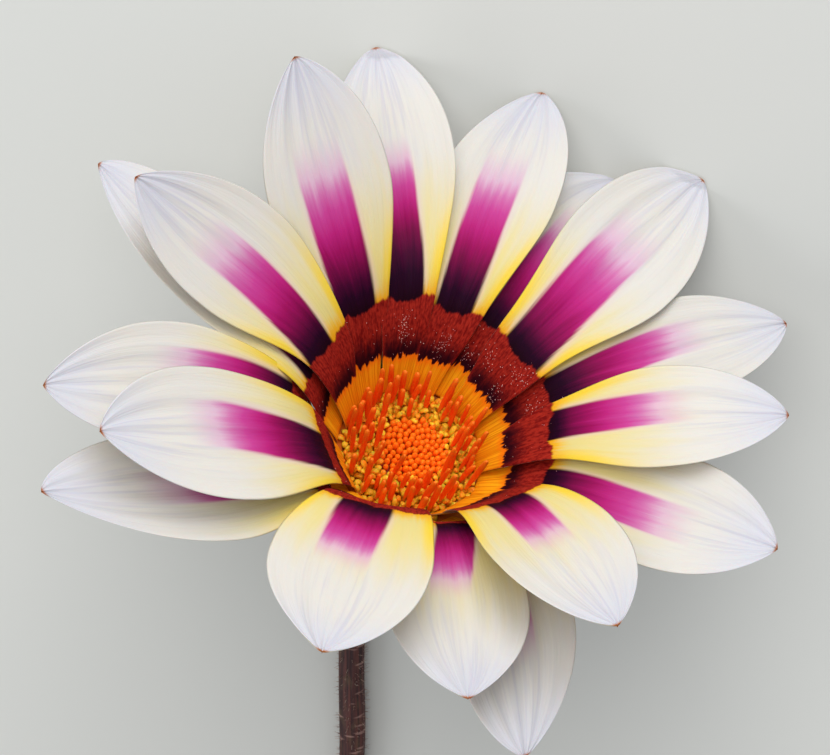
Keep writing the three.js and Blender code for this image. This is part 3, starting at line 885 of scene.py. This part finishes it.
def open_floret(draw, fresh):
    """An open floret with its mouth at the origin, in millimetres, as two parts: corolla and anthers."""
    corolla = bmesh.new()
    layer = corolla.verts.layers.float_vector.new("floret_place")
    grow(corolla, layer, upright(-0.8, -0.3, 0.02), 8, tube_radius)
    turn = draw.uniform(0, 2 * math.pi)
    for k in range(FLORET_LOBES):
        angle = turn + (2 * math.pi * k + draw.uniform(-0.35, 0.35)) / FLORET_LOBES
        spread = draw.uniform(50, 140) if fresh else draw.uniform(90, 190)
        blade(corolla, layer, 8, 6, lobe_surface(angle, spread, draw.uniform(0.9, 1.5)))
    phase = draw.uniform(0, 2 * math.pi)

    def lobe_tint(vert):
        return 0.5 + 0.5 * math.sin(2 * math.atan2(vert.co.y, vert.co.x) + phase)

    mark(corolla, layer, LOBE, lambda vert: smooth(-0.3, 0.6, vert.co.z), lobe_tint)
    anthers = bmesh.new()
    layer = anthers.verts.layers.float_vector.new("floret_place")
    top = draw.uniform(0.4, 0.8)
    grow(anthers, layer, upright(-0.2, 0.2, top - 0.1, top), 6, anther_radius)
    mark(anthers, layer, ANTHER, lambda vert: smooth(-0.2, top, vert.co.z))
    return corolla, anthers


def style_rod(draw, length):
    """A style: a thin golden shaft that widens into a blunt rod and bends a little outwards."""
    rod = bmesh.new()
    layer = rod.verts.layers.float_vector.new("floret_place")
    bend = draw.uniform(-0.1, 0.4)
    thick = STYLE_RADIUS * draw.uniform(0.8, 1.08)
    path = [Vector((bend * t * t, 0, length * t)) for t in STYLE_SECTIONS]

    def rod_radius(distance, angle):
        share = distance / length
        widened = 0.55 + 0.45 * smooth(0.12, 0.42, share)
        blunt = math.sqrt(max(0.1, 1 - smooth(0.93, 1.01, share) ** 2))
        blunt *= 1 - 0.15 * smooth(0.75, 1, share)
        return thick * widened * blunt * (1 + 0.1 * math.cos(2 * angle))

    grow(rod, layer, path, 8, rod_radius)
    mark(rod, layer, STYLE, lambda vert: vert.co.z / length)
    return rod


bm = bmesh.new()
floret_place = bm.verts.layers.float_vector.new("floret_place")
inner_wall, outer_wall = RING_RADII
inner_top, outer_top = RING_HEIGHTS
ring_profile = [
    (inner_wall, DISC_FOOT),
    (outer_wall, DISC_FOOT),
    (outer_wall, outer_top - RING_BEVEL),
    (outer_wall - RING_BEVEL, outer_top),
    (inner_wall + RING_BEVEL, inner_top),
    (inner_wall, inner_top - RING_BEVEL),
    (inner_wall, DISC_FOOT),
]
turned_body(bm, [Vector((radius, 0, height)) for radius, height in ring_profile], 64)
mark(bm, floret_place, ANTHER, lambda vert: 0)
bmesh.ops.transform(bm, matrix=HEAD, verts=bm.verts)
draw = random.Random(7)
for k in range(OPEN_COUNT):
    share = k / (OPEN_COUNT - 1)
    radius = math.sqrt(OPEN_RADII[0] ** 2 * (1 - share) + OPEN_RADII[1] ** 2 * share)
    place = spiral_place(k + BUD_COUNT, radius + draw.uniform(-0.12, 0.12))
    lean = 4 * (radius - BUD_FIELD_RADIUS) + draw.uniform(-5, 5)
    fall = (radius - inner_wall) / (outer_wall - inner_wall)
    height = inner_top * (1 - fall) + outer_top * fall + MOUTH_HEIGHT + draw.uniform(-0.35, 0.35)
    planting = planted(place, height, lean, draw.uniform(-6, 6))
    for part in open_floret(draw, radius < FRESH_RADIUS):
        merge_into(bm, part, planting)
    if draw.random() < 0.5 + 0.35 * share:
        rod = style_rod(draw, draw.uniform(*STYLE_LENGTHS))
        from_light = math.atan2(place.y, place.x) - LIGHT_SIDE
        lean = LIGHT_LEAN * math.cos(from_light) + radius - BUD_FIELD_RADIUS + draw.uniform(-5, 5)
        aside = LIGHT_LEAN * math.sin(from_light) + draw.uniform(-5, 5)
        merge_into(bm, rod, planted(place, height - 0.3, lean, aside))
make_piece(bm, "disc_floret_ring", floret_finish, "open_floret", "disc_open_florets")

# ---------------------------------------------------------------------------------------------------
# Pollen. Pinkish white grains that have fallen from the florets and cling to the soft brick-red feet of
# the rays, most of all on the low side of the face.
POLLEN_GRAINS = 520
GRAIN_RADII = (0.022, 0.06)
DUSTED_RAYS = (2, 2, 3, 3, 4, 4, 5, 5, 5, 6)  # by number; the ones named more often hold more

pollen_finish = Finish("pollen_grain", {"Roughness": 0.7, "Specular IOR Level": 0.3})
dust_tint = pollen_finish.step(0.35, 0.65, pollen_finish.speckle(1800))
dust = pollen_finish.mix(dust_tint, shade(228, 150, 150), shade(240, 204, 190))
pollen_finish.fill(pollen_finish.shader, {"Base Color": dust})

bm = bmesh.new()
draw = random.Random(11)
dusted_spots = [(number, draw.uniform(5.5, 9.5), draw.uniform(-0.6, 0.6)) for number in DUSTED_RAYS]
for k in range(POLLEN_GRAINS):
    number, middle, side = draw.choice(dusted_spots)
    if k % 4 == 0:
        number = draw.randint(1, len(rays))
        middle = draw.uniform(5, 11)
        side = draw.uniform(-0.9, 0.9)
    ray = rays[number - 1]
    along = min(11.5, max(4.8, middle + draw.gauss(0, 0.9))) / ray.length
    across = min(0.9, max(-0.9, side + draw.gauss(0, 0.2)))
    radius = draw.uniform(*GRAIN_RADII) * MM
    placed = Matrix.Translation(ray.place(along, across, 0.9)) @ HEAD.to_3x3().normalized().to_4x4()
    bmesh.ops.create_icosphere(bm, subdivisions=1, radius=radius, matrix=placed)
make_piece(bm, "pollen_grains", pollen_finish, "open_floret")

# ---------------------------------------------------------------------------------------------------
# The surroundings: a plain pale floor, soft light from two large lamps beyond the head and a fainter
# one on the left, and the camera looking down on the face at 27 degrees to its axis.
CAMERA_DISTANCE = 0.42  # metres, from the ring's middle
CAMERA_TILT = 20  # degrees between the view and straight down
FOCAL_PIXELS = 3948
IMAGE_WIDTH = 830
AIM = (0.64, 8.03)  # millimetres right of and above the ring's middle in the picture
FLOOR_RADIUS = 3  # metres
LAMPS = [
    # name, place from the ring's middle and diameter in metres, watts, colour
    ("sky_lamp", (-0.15, 0.5, 0.75), 0.7, 3.3, (1, 0.99, 0.97)),
    ("front_lamp", (0.15, 0.85, 0.36), 0.7, 5.5, (0.96, 0.98, 1)),
    ("side_lamp", (-0.7, -0.1, 0.5), 0.5, 2, (0.94, 0.97, 1)),
]

bm = bmesh.new()
bmesh.ops.create_circle(bm, cap_ends=True, segments=64, radius=FLOOR_RADIUS)
floor_mesh = bpy.data.meshes.new("floor")
bm.to_mesh(floor_mesh)
bm.free()
floor = bpy.data.objects.new("floor", floor_mesh)
bpy.context.scene.collection.objects.link(floor)
paper = {"Base Color": shade(206, 206, 201), "Roughness": 0.9, "Specular IOR Level": 0.1}
floor_finish = Finish("floor_paper", paper)
floor_mesh.materials.append(floor_finish.material)

ring_middle = HEAD.translation
for name, place, size, watts, colour in LAMPS:
    lamp = bpy.data.lights.new(name, "AREA")
    lamp.shape = "DISK"
    lamp.size = size
    lamp.energy = watts
    lamp.color = colour
    holder = bpy.data.objects.new(name, lamp)
    holder.location = ring_middle + Vector(place)
    holder.rotation_euler = (-Vector(place)).to_track_quat("-Z", "Y").to_euler()
    bpy.context.scene.collection.objects.link(holder)

world = bpy.data.worlds.new("soft_room")
bpy.context.scene.world = world
world.use_nodes = True
background = world.node_tree.nodes["Background"]
background.inputs["Color"].default_value = (0.92, 0.95, 1, 1)
background.inputs["Strength"].default_value = 0.5

tilt = math.radians(CAMERA_TILT)
view_right = Vector((1, 0, 0))
view_up = Vector((0, math.cos(tilt), -math.sin(tilt)))
view_back = Vector((0, math.sin(tilt), math.cos(tilt)))
lens = bpy.data.cameras.new("camera")
lens.sensor_width = 36
lens.lens = FOCAL_PIXELS * lens.sensor_width / IMAGE_WIDTH
lens.clip_start = 0.01
camera = bpy.data.objects.new("camera", lens)
camera.location = ring_middle + view_back * CAMERA_DISTANCE
aim = ring_middle + (view_right * AIM[0] + view_up * AIM[1]) * MM
back = (camera.location - aim).normalized()
right = view_up.cross(back).normalized()
turned = Matrix((right, back.cross(right), back)).transposed()
camera.rotation_euler = turned.to_euler()
bpy.context.scene.collection.objects.link(camera)
bpy.context.scene.camera = camera
bpy.context.scene.view_settings.view_transform = "Standard"
